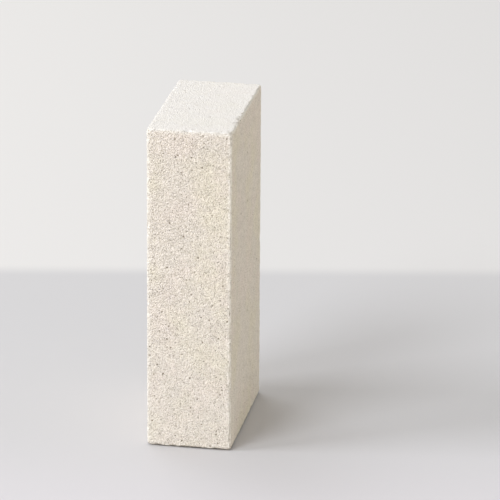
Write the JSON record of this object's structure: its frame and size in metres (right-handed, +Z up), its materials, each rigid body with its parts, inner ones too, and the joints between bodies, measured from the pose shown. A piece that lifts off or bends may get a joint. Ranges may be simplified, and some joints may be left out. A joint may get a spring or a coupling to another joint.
{
  "type": "refractory firebrick",
  "caption": "Plain rectangular refractory brick with softened arrises and a sandy, pitted cream surface, standing on its header end; laid to line kilns, stoves and hearths.",
  "frame": {"origin": "middle of the header end that the brick stands on", "axes": "+Z up along the length, +Y across the width from front to back, +X across the thickness"},
  "size_m": [0.064, 0.124, 0.25],
  "materials": {
    "fired_clay": "matt, sandy fired surface with fine open pores"
  },
  "bodies": {
    "root": {"firebrick": "fired_clay"}
  },
  "joints": []
}
